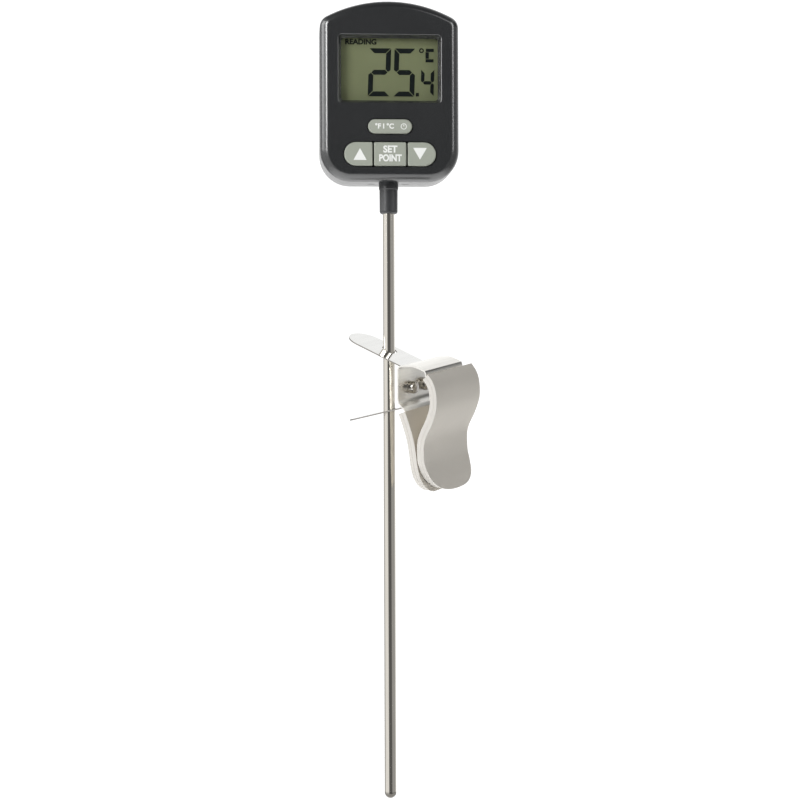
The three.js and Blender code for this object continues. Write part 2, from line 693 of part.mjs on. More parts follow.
// One tongue. It springs from the web's fold and slopes away from the other tongue.
function buildTongue(side) {
  const half = BRACKET.width / 2;
  const length = TONGUE.reach / Math.cos(TONGUE.splay * DEG);
  const outline = [
    ...arc(-length + half, 0, half, 90, 270, 16),
    new THREE.Vector2(-BRACKET.foldGap, -half),
    new THREE.Vector2(-BRACKET.foldGap, half),
  ];
  const placed = prism(outline, -BRACKET.thickness / 2, BRACKET.thickness / 2)
    .rotate([90, 0, 0])
    .rotate([0, side * TONGUE.splay, 0])
    .translate([BRACKET.webX, 0, side * BRACKET.foldZ]);
  return cut(placed, stemClearance(side * BRACKET.foldZ, side));
}

function rivetHoles() {
  const radius = RIVET.shankRadius + 0.1;
  return [-1, 1].map((side) => {
    const geometry = new THREE.CylinderGeometry(radius, radius, 8, 20);
    geometry.rotateZ(Math.PI / 2);
    geometry.translate(0, (side * RIVET.spacing) / 2, 0);
    return toSolid(geometry);
  });
}

const webHalf = BRACKET.foldZ + BRACKET.thickness / 2;
const bracketWeb = block(
  BRACKET.webX - BRACKET.thickness / 2, BRACKET.webX + BRACKET.thickness / 2,
  -BRACKET.width / 2, BRACKET.width / 2, -webHalf, webHalf,
);
add('bracket_web', 'spring', cut(bracketWeb, ...rivetHoles()), clip);
add('upper_tongue', 'spring', buildTongue(1), clip);
add('lower_tongue', 'spring', buildTongue(-1), clip);

// ---------------------------------------------------------------- tray clip: strip and jaws

// Side views of the jaws' outer faces and of the strip, as [x, z], each from the top down.
const frontFace = curveThrough([
  [13.9, 7.0], [15.8, 4.7], [17.0, 1.6], [17.3, -3.0], [16.6, -6.2], [15.2, -9.8], [13.4, -13.3],
  [12.45, -15.8], [12.25, -18.6], [12.5, -22.8], [13.3, -25.8], [14.3, -29.0], [15.2, -32.3], [15.7, -34.2],
], 36);
const rearFace = curveThrough([
  [2.2, -7.4], [3.9, -11.4], [5.5, -16.1], [6.3, -20.0], [6.9, -24.0],
  [7.9, -28.2], [8.9, -32.0], [9.5, -34.2],
], 26);
const frontStripLine = offsetCurve(frontFace, -CLIP.coverThickness);
const rearStripLine = offsetCurve(rearFace, CLIP.coverThickness);

const backLegLine = [
  ...curveThrough([[CLIP.bendX - CLIP.bendGap, 8.6], [3.2, 8.35], [0.9, 7.95], [0.12, 7.2], [0, 5.6]], 12),
  ...curveThrough([[0, -3.2], [0.55, -4.7], [2.2, -6.1]], 6),
  ...rearStripLine.slice(1, 22),
];
const frontLegLine = [
  ...curveThrough([[CLIP.bendX + CLIP.bendGap, 8.58], [7.7, 8.3], [9.4, 7.85], [10.75, 7.4]], 8),
  ...curveThrough([[11.1, 6.75], [11.25, 5.9], [11.75, 4.5], [13.6, 1.2]], 8),
  ...frontStripLine.slice(9, 32),
];

// What the jaws are trimmed to across their width, as [y, z] points. The front one has a lopsided end.
const { jawNear, jawFar, rearCornerRadius: rearCorner } = CLIP;
const frontEnd = curveThrough([
  [jawNear, -22.5], [-11.9, -27.7], [-8.4, -31.2], [-4.1, -32.9], [0.5, -33.5], [4.5, -33.5],
  [7.6, -33.1], [10.2, -31.9], [11.8, -29.6], [jawFar, -25.5],
], 26);
const rearEnd = [
  ...arc(jawNear + rearCorner, CLIP.rearJawBottom + rearCorner, rearCorner, 180, 270, 8),
  ...arc(jawFar - rearCorner, CLIP.rearJawBottom + rearCorner, rearCorner, -90, 0, 8),
];

function jawBlank(end, topZ) {
  const outline = [...end, new THREE.Vector2(jawFar, topZ), new THREE.Vector2(jawNear, topZ)];
  return prism(outline, -40, 20).rotate([0, 0, 90]);
}

// One jaw: an outer cover and a gripping pad that hold the strip between them.
function buildJaw(face, side, stripLine, blank) {
  const seamAt = side * CLIP.coverThickness;
  const sheetWidth = 2 * Math.max(-jawNear, jawFar);
  const cover = bentSheet(face, 0, seamAt - side * SEAM, sheetWidth).intersect(blank);
  const pad = bentSheet(face, seamAt, side * CLIP.jawThickness, sheetWidth).intersect(blank);
  const pocket = bentSheet(stripLine, -halfStrip - SEAM, halfStrip + SEAM, CLIP.stripWidth + 0.3);
  return { cover: cut(cover, pocket), pad: cut(pad, pocket) };
}

const halfStrip = CLIP.stripThickness / 2;
add('spring_back_leg', 'spring', cut(
  bentSheet(backLegLine, -halfStrip, halfStrip, CLIP.stripWidth),
  ...rivetHoles(),
), clip);
add('spring_front_leg', 'spring', bentSheet(frontLegLine, -halfStrip, halfStrip, CLIP.stripWidth), clip);

const frontJaw = buildJaw(frontFace, -1, frontLegLine, jawBlank(frontEnd, 12));
const rearJaw = buildJaw(rearFace, 1, backLegLine, jawBlank(rearEnd, 0));
const recessHalf = CLIP.stripWidth / 2 + 0.15;
const coverX = frontFace[0].x;
const padRecess = block(coverX - 6, coverX + 6, -recessHalf, recessHalf, CLIP.recessFloor, 12);
add('front_jaw_cover', 'jaw', frontJaw.cover, clip);
add('front_jaw_pad', 'pad', cut(frontJaw.pad, padRecess), clip);
add('rear_jaw_cover', 'jaw', rearJaw.cover, clip);
add('rear_jaw_pad', 'pad', rearJaw.pad, clip);

// ---------------------------------------------------------------- tray clip: rivets

function buildRivet(side) {
  const { headRadius, headHeight, shankRadius } = RIVET;
  const seat = halfStrip + SEAM;
  const tail = BRACKET.webX - BRACKET.thickness / 2 - SEAM;
  const geometry = new THREE.LatheGeometry([
    [0, tail - RIVET_TAIL.height],
    [RIVET_TAIL.radius - 0.15, tail - RIVET_TAIL.height * 0.9],
    [RIVET_TAIL.radius, tail],
    [shankRadius, tail],
    [shankRadius, seat],
    [headRadius * 0.94, seat],
    [headRadius, seat + headHeight * 0.15],
    [headRadius, seat + headHeight * 0.6],
    [headRadius * 0.88, seat + headHeight * 0.85],
    [headRadius * 0.6, seat + headHeight * 0.97],
    [0, seat + headHeight],
  ].map(([r, y]) => new THREE.Vector2(r, y)), 24);
  geometry.rotateZ(-Math.PI / 2);
  geometry.translate(0, (side * RIVET.spacing) / 2, 0);
  return toSolid(geometry);
}
add('rivet_near', 'steel', buildRivet(-1), clip);
add('rivet_far', 'steel', buildRivet(1), clip);

export default group;
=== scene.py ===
"""Looks for the darkroom thermometer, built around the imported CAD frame.

Metres, +Z up, and the display faces -Y.
"""

import math

import bmesh
import bpy
from mathutils import Matrix, Vector


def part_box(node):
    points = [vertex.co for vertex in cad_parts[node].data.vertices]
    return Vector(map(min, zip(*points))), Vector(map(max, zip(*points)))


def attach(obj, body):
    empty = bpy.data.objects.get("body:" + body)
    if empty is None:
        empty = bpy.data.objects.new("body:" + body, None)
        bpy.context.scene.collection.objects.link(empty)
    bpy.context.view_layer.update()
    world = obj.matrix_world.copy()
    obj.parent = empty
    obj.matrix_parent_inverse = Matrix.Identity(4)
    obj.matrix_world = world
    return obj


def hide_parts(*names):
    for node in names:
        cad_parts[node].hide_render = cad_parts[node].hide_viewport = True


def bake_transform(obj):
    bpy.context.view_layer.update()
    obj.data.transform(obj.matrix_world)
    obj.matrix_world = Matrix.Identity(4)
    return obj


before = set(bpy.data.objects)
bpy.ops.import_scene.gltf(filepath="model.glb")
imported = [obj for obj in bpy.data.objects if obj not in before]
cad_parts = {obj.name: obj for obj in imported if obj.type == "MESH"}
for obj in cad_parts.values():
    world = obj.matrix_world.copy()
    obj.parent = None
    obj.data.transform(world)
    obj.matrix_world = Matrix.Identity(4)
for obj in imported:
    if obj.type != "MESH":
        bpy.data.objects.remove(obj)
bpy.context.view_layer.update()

MM = 0.001

# ---------------------------------------------------------------- places read from the frame

KEY_TOP_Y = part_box("set_key")[0].y
LCD_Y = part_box("lcd_panel")[0].y
stem_low, stem_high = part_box("stem_tube")
STEM_X = (stem_low.x + stem_high.x) / 2
STEM_Y = (stem_low.y + stem_high.y) / 2
TIP_Z = stem_low.z

# The clip's own frame, as the CAD places it: x from the stem to the jaws, y across the strip, z up.
# It is turned about the stem, tipped about X, and turned about Z once more. Angles are in degrees.
CLIP_Z = -97.2 * MM
STEM_TO_CLIP = 11.2 * MM
CLIP_TURN_ON_STEM = -35.5
CLIP_LEAN = 11.5
CLIP_LAST_TURN = -4.0


def rotation(degrees, axis):
    return Matrix.Rotation(math.radians(degrees), 4, axis)


CLIP_TO_WORLD = (
    Matrix.Translation((STEM_X, STEM_Y, CLIP_Z))
    @ rotation(CLIP_LAST_TURN, "Z")
    @ rotation(CLIP_LEAN, "X")
    @ rotation(CLIP_TURN_ON_STEM, "Z")
    @ Matrix.Translation((STEM_TO_CLIP, 0.0, 0.0))
)
WORLD_TO_CLIP = CLIP_TO_WORLD.inverted()
CLIP_AXES = tuple(CLIP_TO_WORLD.to_euler())


# ---------------------------------------------------------------- material helpers

# Noise scales, in features per metre.
DRIFT_SCALE = 60.0
GLOSS_SCALE = 400.0
GRAIN_SCALE = 9000.0
FINE_STREAK = 2600.0
RIVET_STREAK = 1200.0
SHEET_STREAK = 900.0
LCD_DRIFT_SCALE = 35.0
LCD_GRAIN_SCALE = 5000.0
LENS_GLOSS_SCALE = 500.0
FLOOR_GLOSS_SCALE = 8.0

BRUSH_STRETCH = 50.0
BRUSH_RELIEF = 0.25
BRUSH_DEPTH = 0.0012 * MM
X_AXIS, Y_AXIS, Z_AXIS = 0, 1, 2


def new_material(name, colour, roughness, metallic=0.0, **sockets):
    material = bpy.data.materials.new(name)
    material.use_nodes = True
    shader = material.node_tree.nodes["Principled BSDF"]
    shader.inputs["Base Color"].default_value = (*colour, 1.0)
    shader.inputs["Roughness"].default_value = roughness
    shader.inputs["Metallic"].default_value = metallic
    for socket, value in sockets.items():
        shader.inputs[socket.replace("_", " ")].default_value = value
    material.diffuse_color = (*colour, 1.0)
    return material


def object_coordinates(tree, stretch=(1.0, 1.0, 1.0), turn=(0.0, 0.0, 0.0)):
    """The piece's own coordinates, turned into another frame and then stretched along its axes."""
    source = tree.nodes.new("ShaderNodeTexCoord")
    mapping = tree.nodes.new("ShaderNodeMapping")
    mapping.vector_type = "TEXTURE"
    mapping.inputs["Scale"].default_value = stretch
    mapping.inputs["Rotation"].default_value = turn
    tree.links.new(source.outputs["Object"], mapping.inputs["Vector"])
    return mapping.outputs["Vector"]


def noise(tree, vector, scale, detail=3.0, roughness=0.55):
    node = tree.nodes.new("ShaderNodeTexNoise")
    node.inputs["Scale"].default_value = scale
    node.inputs["Detail"].default_value = detail
    node.inputs["Roughness"].default_value = roughness
    tree.links.new(vector, node.inputs["Vector"])
    return node.outputs["Fac"]


def spread(tree, value, low, high, from_low=0.3, from_high=0.7):
    """Maps a noise value onto the range low to high."""
    node = tree.nodes.new("ShaderNodeMapRange")
    node.inputs["From Min"].default_value = from_low
    node.inputs["From Max"].default_value = from_high
    node.inputs["To Min"].default_value = low
    node.inputs["To Max"].default_value = high
    tree.links.new(value, node.inputs["Value"])
    return node.outputs["Result"]


def mix_colours(tree, factor, first, second):
    node = tree.nodes.new("ShaderNodeMix")
    node.data_type = "RGBA"
    node.inputs["A"].default_value = (*first, 1.0)
    node.inputs["B"].default_value = (*second, 1.0)
    tree.links.new(factor, node.inputs["Factor"])
    return node.outputs["Result"]


def bump(tree, height, strength, distance):
    node = tree.nodes.new("ShaderNodeBump")
    node.inputs["Strength"].default_value = strength
    node.inputs["Distance"].default_value = distance
    tree.links.new(height, node.inputs["Height"])
    tree.links.new(node.outputs["Normal"], tree.nodes["Principled BSDF"].inputs["Normal"])


def drive(tree, socket, output):
    tree.links.new(output, tree.nodes["Principled BSDF"].inputs[socket])


def moulded(name, light, dark, rough, grain_depth=0.003 * MM, relief=0.2, **sockets):
    """Moulded plastic or rubber: a fine spark-eroded grain with a slow drift in colour and gloss."""
    material = new_material(name, light, rough[1], **sockets)
    tree = material.node_tree
    vector = object_coordinates(tree)
    slow = noise(tree, vector, DRIFT_SCALE, detail=2.0)
    fine = noise(tree, vector, GRAIN_SCALE, detail=2.0, roughness=0.6)
    drive(tree, "Base Color", mix_colours(tree, spread(tree, slow, 0.0, 1.0), light, dark))
    drive(tree, "Roughness", spread(tree, noise(tree, vector, GLOSS_SCALE), *rough))
    bump(tree, fine, relief, grain_depth)
    return material


def brushed(name, colour, rough, along, streak=FINE_STREAK, shade=0.9, turn=(0.0, 0.0, 0.0)):
    """Drawn or rolled steel: fine lines along one axis, which vary the gloss and the height a little."""
    material = new_material(name, colour, rough[0], 1.0)
    tree = material.node_tree
    stretch = [1.0, 1.0, 1.0]
    stretch[along] = BRUSH_STRETCH
    vector = object_coordinates(tree, stretch, turn)
    lines = noise(tree, vector, streak, detail=4.0, roughness=0.65)
    drive(tree, "Roughness", spread(tree, lines, *rough))
    darker = tuple(c * shade for c in colour)
    drive(tree, "Base Color", mix_colours(tree, spread(tree, lines, 0.0, 1.0), colour, darker))
    bump(tree, lines, BRUSH_RELIEF, BRUSH_DEPTH)
    return material


def clip_steel(name, colour, rough, along=Y_AXIS, streak=SHEET_STREAK, shade=0.9):
    """Steel whose lines follow the clip's own frame."""
    return brushed(name, colour, rough, along, streak, shade, CLIP_AXES)


# ---------------------------------------------------------------- materials

SHELL = moulded(
    "shell_plastic",
    light=(0.018, 0.019, 0.020),
    dark=(0.016, 0.017, 0.018),
    rough=(0.21, 0.26),
    relief=0.05,
    Specular_IOR_Level=0.95,
)
COLLAR = moulded(
    "collar_plastic",
    light=(0.032, 0.033, 0.035),
    dark=(0.027, 0.028, 0.030),
    rough=(0.36, 0.46),
)
KEYS = moulded(
    "key_rubber",
    light=(0.292, 0.311, 0.264),
    dark=(0.279, 0.298, 0.253),
    rough=(0.50, 0.60),
)
PRINT = moulded(
    "white_print",
    light=(0.74, 0.75, 0.73),
    dark=(0.70, 0.71, 0.69),
    rough=(0.45, 0.55),
    grain_depth=0.002 * MM,
)
BOARD = moulded(
    "board_lacquer",
    light=(0.02, 0.16, 0.06),
    dark=(0.018, 0.13, 0.05),
    rough=(0.30, 0.40),
)
RUBBER = moulded(
    "black_rubber",
    light=(0.02, 0.02, 0.022),
    dark=(0.016, 0.016, 0.018),
    rough=(0.70, 0.85),
)
INNER = moulded(
    "inner_plastic",
    light=(0.55, 0.55, 0.53),
    dark=(0.50, 0.50, 0.48),
    rough=(0.45, 0.55),
)
JAW = moulded(
    "jaw_face",
    light=(0.450, 0.427, 0.386),
    dark=(0.432, 0.409, 0.370),
    rough=(0.66, 0.76),
)
# Partly the pads' own paler colour and partly painted light: the colour is raised so that the pads' inner
# faces, shaded between the jaws, still read bright.
JAW_PAD = moulded(
    "jaw_pad",
    light=(0.640, 0.600, 0.535),
    dark=(0.610, 0.575, 0.510),
    rough=(0.66, 0.76),
)
# Painted light and shade: one colour for all the jaws' sides, a little lighter than the covers and darker
# than the pads, set to how bright the sides look under the light from the left.
JAW_SIDE_PAINTED_SHADING = moulded(
    "jaw_side_painted_shading",
    light=(0.47, 0.452, 0.42),
    dark=(0.44, 0.424, 0.394),
    rough=(0.60, 0.72),
)
STEM_STEEL = brushed("stem_steel", (0.74, 0.705, 0.64), (0.06, 0.12), Z_AXIS)
SPRING_STEEL = clip_steel("spring_steel", (0.86, 0.845, 0.80), (0.26, 0.35))
WEB_STEEL = clip_steel("web_steel", (0.90, 0.88, 0.83), (0.42, 0.52))
RIVET_STEEL = clip_steel(
    "rivet_steel", (0.46, 0.44, 0.41), (0.16, 0.20), along=X_AXIS, streak=RIVET_STREAK, shade=0.96
)
TONGUE_STEEL = clip_steel("tongue_steel", (0.68, 0.68, 0.665), (0.08, 0.14), shade=0.96)
SHEET_EDGE = clip_steel("sheet_edge", (0.30, 0.285, 0.265), (0.36, 0.48), streak=FINE_STREAK)
BRASS = brushed("contact_brass", (0.66, 0.50, 0.24), (0.22, 0.34), Z_AXIS)

# Painted shade at the stem's closed end: its colour, and the heights above the tip between which it fades
# out.
TIP_PAINTED_SHADE = (0.10, 0.094, 0.084)
FULL_TINT = 1.5 * MM
NO_TINT = 2.5 * MM


def paint_shade_on_tip(material):
    """Painted shade on the closed end of the stem: a darker band that fades out upwards and dims what the
    rounded tip mirrors.
    """
    tree = material.node_tree
    shader = tree.nodes["Principled BSDF"]
    height = tree.nodes.new("ShaderNodeSeparateXYZ")
    tree.links.new(tree.nodes.new("ShaderNodeTexCoord").outputs["Object"], height.inputs["Vector"])
    fade = spread(tree, height.outputs["Z"], 0.0, 1.0, TIP_Z + FULL_TINT, TIP_Z + NO_TINT)
    tint = tree.nodes.new("ShaderNodeMix")
    tint.data_type = "RGBA"
    tint.inputs["A"].default_value = (*TIP_PAINTED_SHADE, 1.0)
    tree.links.new(fade, tint.inputs["Factor"])
    tree.links.new(shader.inputs["Base Color"].links[0].from_socket, tint.inputs["B"])
    tree.links.new(tint.outputs["Result"], shader.inputs["Base Color"])


paint_shade_on_tip(STEM_STEEL)


def lcd_material(light, dark):
    """The grey-green reflector of the display, with a slow unevenness and a very fine grain."""
    material = new_material("lcd_reflector", light, 0.40)
    tree = material.node_tree
    vector = object_coordinates(tree)
    slow = noise(tree, vector, LCD_DRIFT_SCALE, detail=2.0)
    drive(tree, "Base Color", mix_colours(tree, spread(tree, slow, 0.0, 1.0), light, dark))
    bump(tree, noise(tree, vector, LCD_GRAIN_SCALE), strength=0.2, distance=0.003 * MM)
    return material


def lens_material():
    """Clear acrylic: mostly see-through, with a gloss of its own."""
    material = new_material("lens_acrylic", (0.01, 0.01, 0.01), 0.04, IOR=1.49, Alpha=0.06)
    tree = material.node_tree
    gloss = noise(tree, object_coordinates(tree), LENS_GLOSS_SCALE)
    drive(tree, "Roughness", spread(tree, gloss, 0.03, 0.06))
    return material


LCD = lcd_material(light=(0.185, 0.205, 0.108), dark=(0.165, 0.185, 0.096))
LCD_INK = moulded(
    "lcd_ink",
    light=(0.008, 0.011, 0.011),
    dark=(0.006, 0.009, 0.009),
    rough=(0.40, 0.50),
    grain_depth=0.001 * MM,
    Specular_IOR_Level=0.1,
)
LENS = lens_material()

# The four case screws are not named here: they take the rivets' steel.
NODE_MATERIALS = {
    "front_shell": SHELL,
    "rear_shell": SHELL,
    "battery_door": SHELL,
    "stem_collar": COLLAR,
    "unit_key": KEYS,
    "up_key": KEYS,
    "set_key": KEYS,
    "down_key": KEYS,
    "window_lens": LENS,
    "lcd_panel": LCD,
    "display_frame": INNER,
    "cell_holder": INNER,
    "thermistor": INNER,
    "contact_strip": RUBBER,
    "keypad_membrane": RUBBER,
    "stem_seal": RUBBER,
    "circuit_board": BOARD,
    "coin_cell": RIVET_STEEL,
    "stem_tube": STEM_STEEL,
    "lead_left": BRASS,
    "lead_right": BRASS,
    "negative_contact": BRASS,
    "positive_contact": BRASS,
    "bracket_web": WEB_STEEL,
    "upper_tongue": TONGUE_STEEL,
    "lower_tongue": TONGUE_STEEL,
    "spring_back_leg": SPRING_STEEL,
    "spring_front_leg": SPRING_STEEL,
    "rivet_near": RIVET_STEEL,
    "rivet_far": RIVET_STEEL,
    "front_jaw_cover": JAW,
    "rear_jaw_cover": JAW,
    "front_jaw_pad": JAW_PAD,
    "rear_jaw_pad": JAW_PAD,
}

# How far each moulded or folded node's edges are softened, in millimetres.
EDGE_ROUNDING = {
    "front_shell": 0.22,
    "rear_shell": 0.18,
    "battery_door": 0.12,
    "stem_collar": 0.12,
    "unit_key": 0.30,
    "up_key": 0.30,
    "set_key": 0.30,
    "down_key": 0.30,
    "front_jaw_cover": 0.20,
    "front_jaw_pad": 0.30,
    "rear_jaw_cover": 0.20,
    "rear_jaw_pad": 0.30,
    "bracket_web": 0.08,
}
JAW_NODES = ("front_jaw_cover", "rear_jaw_cover", "front_jaw_pad", "rear_jaw_pad")

WELD_DISTANCE = 0.002 * MM
FLAT_WITHIN = math.radians(0.05)
SOFTEN_ABOVE = math.radians(38)
NODE_CREASE = math.radians(32)
SHEET_CREASE = math.radians(40)

# A face of a sheet is a trimmed edge if the cosine of its angle to the sheet's flat side is under this.
# Edges take the second material slot.
EDGE_FACING = 0.5
EDGE_SLOT = 1


def finish_node(node, part):
    """Gives a CAD node its material, smooth shading and softened edges. Its own vertices stay as they are."""
    material = NODE_MATERIALS.get(node, RIVET_STEEL)
    part.data.materials.clear()
    part.data.materials.append(material)
    for polygon in part.data.polygons:
        polygon.use_smooth = True
    weld = part.modifiers.new("weld", "WELD")
    weld.merge_threshold = WELD_DISTANCE
    width = EDGE_ROUNDING.get(node)
    if width:
        flatten = part.modifiers.new("flatten", "DECIMATE")
        flatten.decimate_type = "DISSOLVE"
        flatten.angle_limit = FLAT_WITHIN
        soften = part.modifiers.new("soften", "BEVEL")
        soften.width = width * MM
        soften.segments = 3
        soften.limit_method = "ANGLE"
        soften.angle_limit = SOFTEN_ABOVE
        soften.harden_normals = False
        soften.use_clamp_overlap = True
    even_shading(part, NODE_CREASE)


def even_shading(piece, crease):
    """Splits the shading at creases and lets the large faces set it elsewhere: flat faces look flat."""
    split = piece.modifiers.new("split", "EDGE_SPLIT")
    split.split_angle = crease
    weights = piece.modifiers.new("weights", "WEIGHTED_NORMAL")
    weights.mode = "FACE_AREA"
    weights.weight = 90


def paint_shading_on_jaw_sides(part):
    """The jaws' sides, whose faces don't look along clip x, take one colour of their own: painted light and
    shade, a little lighter than the covers' faces and darker than the pads', so that every side reads as
    bright as it looks where the light from the left falls on it.
    """
    part.data.materials.append(JAW_SIDE_PAINTED_SHADING)
    to_clip = WORLD_TO_CLIP.to_3x3()
    for polygon in part.data.polygons:
        if abs((to_clip @ polygon.normal).x) < EDGE_FACING:
            polygon.material_index = EDGE_SLOT


for node_name, node_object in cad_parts.items():
    finish_node(node_name, node_object)
for node_name in JAW_NODES:
    paint_shading_on_jaw_sides(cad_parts[node_name])

# ---------------------------------------------------------------- sprung sheet that runs on through a bend

# In the clip's frame and in millimetres: the gap between the strip's two CAD legs, at the top of the arch,
# the stretch of the arch that bends, and how far a tongue's root runs on into the fold.
LEG_GAP_X = 6.0
LEG_GAP_REACH = 0.4
LEG_GAP_ABOVE_Z = 5.0
LEG_END_FACING = 0.9
ROOT_REACH = 0.35


def sheet_copy(name, *nodes):
    """A new piece and an editable copy of these CAD nodes' shapes, with flat faces made whole again."""
    shape = bmesh.new()
    for node in nodes:
        shape.from_mesh(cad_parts[node].data)
    bmesh.ops.remove_doubles(shape, verts=shape.verts, dist=WELD_DISTANCE)
    bmesh.ops.dissolve_limit(shape, angle_limit=FLAT_WITHIN, verts=shape.verts, edges=shape.edges)
    for face in shape.faces:
        face.smooth = True
    piece = bpy.data.objects.new(name, bpy.data.meshes.new(name))
    bpy.context.scene.collection.objects.link(piece)
    return shape, piece


def finish_sheet(shape, piece, *nodes):
    shape.to_mesh(piece.data)
    shape.free()
    piece.data.materials.append(NODE_MATERIALS[nodes[0]])
    even_shading(piece, SHEET_CREASE)
    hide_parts(*nodes)


def build_strip():
    """The spring strip in one length: the two CAD legs, joined across the small gap in the arch."""
    shape, piece = sheet_copy("spring_strip", "spring_back_leg", "spring_front_leg")
    ends = []
    for face in shape.faces:
        spot = WORLD_TO_CLIP @ face.calc_center_median() / MM
        across = abs((WORLD_TO_CLIP.to_3x3() @ face.normal).x)
        at_gap = abs(spot.x - LEG_GAP_X) < LEG_GAP_REACH and spot.z > LEG_GAP_ABOVE_Z
        if at_gap and across > LEG_END_FACING:
            ends.append(face)
    edges = [edge for face in ends for edge in face.edges]
    bmesh.ops.delete(shape, geom=ends, context="FACES_ONLY")
    bmesh.ops.bridge_loops(shape, edges=edges)
    finish_sheet(shape, piece, "spring_back_leg", "spring_front_leg")
    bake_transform(piece)


def build_tongue(node):
    """A tongue with its root carried on into the web's fold, where it turns."""
    shape, piece = sheet_copy(node + "_sheet", node)
    root = max(shape.faces, key=lambda face: (WORLD_TO_CLIP @ face.calc_center_median()).x)
    onward = root.normal.copy()
    for vertex in root.verts:
        vertex.co += onward * ROOT_REACH * MM
    flat = max(shape.faces, key=lambda face: face.calc_area()).normal.copy()
    for face in shape.faces:
        if abs(face.normal.dot(flat)) < EDGE_FACING:
            face.material_index = EDGE_SLOT
    finish_sheet(shape, piece, node)
    piece.data.materials.append(SHEET_EDGE)
    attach(piece, node)


build_strip()
build_tongue("upper_tongue")
build_tongue("lower_tongue")


# ---------------------------------------------------------------- thin printed and display shapes

CAP_HEIGHT = 0.72
HALF_LETTER_DEPTH = 0.015 * MM


def flat_piece(name, outlines, front_y, thickness, material, body):
    """Thin shapes in an XZ plane, given as outlines in metres, from front_y back by thickness."""
    mesh = bpy.data.meshes.new(name)
    piece = bpy.data.objects.new(name, mesh)
    bpy.context.scene.collection.objects.link(piece)
    shape = bmesh.new()
    for outline in outlines:
        front = [shape.verts.new((x, front_y, z)) for x, z in outline]
        back = [shape.verts.new((x, front_y + thickness, z)) for x, z in outline]
        shape.faces.new(front)
        shape.faces.new(list(reversed(back)))
        count = len(outline)
        for i in range(count):
            j = (i + 1) % count
            shape.faces.new((front[j], front[i], back[i], back[j]))
    bmesh.ops.recalc_face_normals(shape, faces=shape.faces)
    shape.to_mesh(mesh)
    shape.free()
    mesh.materials.append(material)
    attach(piece, body)


def lettering(name, text, centre, height, middle_y, material, body, weight, stretch):
    """Generic lettering that faces -Y, as a thin solid centred on (x, z). Weight is how far strokes swell."""
    curve = bpy.data.curves.new(name, "FONT")
    curve.body = text
    curve.align_x = "CENTER"
    curve.align_y = "CENTER"
    curve.size = height / CAP_HEIGHT
    curve.offset = weight
    curve.extrude = HALF_LETTER_DEPTH
    curve.resolution_u = 6
    holder = bpy.data.objects.new(name + "_curve", curve)
    bpy.context.scene.collection.objects.link(holder)
    bpy.context.view_layer.update()
    graph = bpy.context.evaluated_depsgraph_get()
    mesh = bpy.data.meshes.new_from_object(holder.evaluated_get(graph))
    bpy.data.objects.remove(holder)
    place = Matrix.Translation((centre[0], middle_y, centre[1]))
    mesh.transform(place @ rotation(90, "X") @ Matrix.Diagonal((stretch, 1.0, 1.0, 1.0)))
    mesh.materials.clear()
    mesh.materials.append(material)
    piece = bpy.data.objects.new(name, mesh)
    bpy.context.scene.collection.objects.link(piece)
    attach(piece, body)


SEGMENTS_OF = {"2": "abged", "4": "fgbc", "5": "afgcd"}
SLANT = math.tan(math.radians(2.0))
RING_STEPS = 24


def digit_outlines(digit, left, bottom, width, height, bar, gap):
    """Outlines of a seven-segment digit: mitred bars with a small gap, leaning slightly to the right."""
    w, h, t, g = width, height, bar, gap
    m = height / 2
    shapes = {
        "a": [(g, h), (w - g, h), (w - t - g, h - t), (t + g, h - t)],
        "d": [(g, 0), (w - g, 0), (w - t - g, t), (t + g, t)],
        "f": [(0, h - g), (t, h - t - g), (t, m + t / 2 + g), (t / 2, m + g), (0, m + t / 2)],
        "b": [(w, h - g), (w - t, h - t - g), (w - t, m + t / 2 + g), (w - t / 2, m + g), (w, m + t / 2)],
        "e": [(0, g), (t, t + g), (t, m - t / 2 - g), (t / 2, m - g), (0, m - t / 2)],
        "c": [(w, g), (w - t, t + g), (w - t, m - t / 2 - g), (w - t / 2, m - g), (w, m - t / 2)],
        "g": [
            (t / 2 + g, m), (t + g, m + t / 2), (w - t - g, m + t / 2),
            (w - t / 2 - g, m), (w - t - g, m - t / 2), (t + g, m - t / 2),
        ],
    }
    placed = []
    for segment in SEGMENTS_OF[digit]:
        outline = shapes[segment]
        placed.append([((left + x + SLANT * z) * MM, (bottom + z) * MM) for x, z in outline])
    return placed


def ring_outlines(x, z, outer, inner):
    """A ring as a row of small four-sided outlines."""
    outlines = []
    for i in range(RING_STEPS):
        a = math.radians(360.0 * i / RING_STEPS)
        b = math.radians(360.0 * (i + 1) / RING_STEPS)
        corners = [(outer, a), (outer, b), (inner, b), (inner, a)]
        outlines.append([((x + r * math.cos(t)) * MM, (z + r * math.sin(t)) * MM) for r, t in corners])
    return outlines


def bar_outline(x0, x1, z0, z1):
    return [(x0 * MM, z0 * MM), (x1 * MM, z0 * MM), (x1 * MM, z1 * MM), (x0 * MM, z1 * MM)]


INK_Y = LCD_Y - 0.05 * MM
INK_DEPTH = 0.03 * MM


def display_ink(name, outlines):
    flat_piece(name, outlines, INK_Y, INK_DEPTH, LCD_INK, "thermometer")


